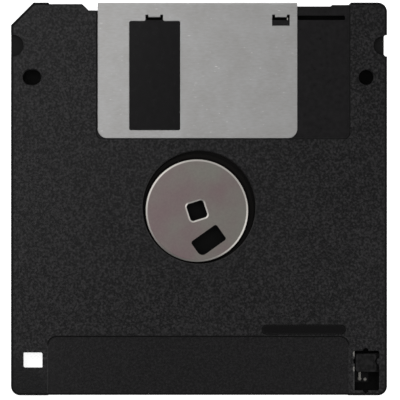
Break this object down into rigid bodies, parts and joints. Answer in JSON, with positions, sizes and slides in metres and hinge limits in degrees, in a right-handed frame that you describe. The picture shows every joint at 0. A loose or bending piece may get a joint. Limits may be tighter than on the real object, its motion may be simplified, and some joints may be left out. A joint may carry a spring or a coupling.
{
  "type": "floppy disk",
  "caption": "Flat square data disk in a hard black case, with a sliding metal shutter, a turning metal hub and a write-protect slider.",
  "frame": {"origin": "middle of the case's outline, on the label-side face that it lies on", "axes": "+X is the way the shutter opens, +Y points to the shutter edge, +Z points out of the hub side"},
  "size_m": [0.09, 0.094, 0.0033],
  "materials": {
    "case_plastic": "fine moulded grain, smooth in the recesses",
    "shutter_steel": "satin stainless sheet",
    "spring_wire": "drawn spring wire",
    "slider_plastic": "plain moulded",
    "film": "coated polyester film",
    "adhesive": "double-sided film",
    "hub_steel": "pressed magnetic stainless steel",
    "liner_fabric": "non-woven fabric",
    "lifter_film": "bent polyester strip"
  },
  "bodies": {
    "case": {"hub_side_shell": "case_plastic", "label_side_shell": "case_plastic", "shutter_spring": "spring_wire", "hub_side_liner": "liner_fabric", "label_side_liner": "liner_fabric", "liner_lifter": "lifter_film"},
    "shutter": {"shutter": "shutter_steel"},
    "disk": {"disk_hub": "hub_steel", "magnetic_disk": "film", "hub_adhesive_ring": "adhesive"},
    "write_protect": {"write_protect_slider": "slider_plastic"}
  },
  "joints": [
    {"name": "shutter_slide", "type": "slide", "parent": "case", "child": "shutter", "axis": [1, 0, 0], "range_m": [0, 0.0125], "stiffness_N_per_m": 48, "springref_m": -0.006, "deforming": ["shutter_spring"]},
    {"name": "disk_spin", "type": "hinge", "parent": "case", "child": "disk", "pos_m": [-0.0005, -0.0028, 0.002], "axis": [0, 0, 1], "continuous": true},
    {"name": "write_protect_slide", "type": "slide", "parent": "case", "child": "write_protect", "axis": [0, -1, 0], "range_m": [0, 0.0042]}
  ]
}
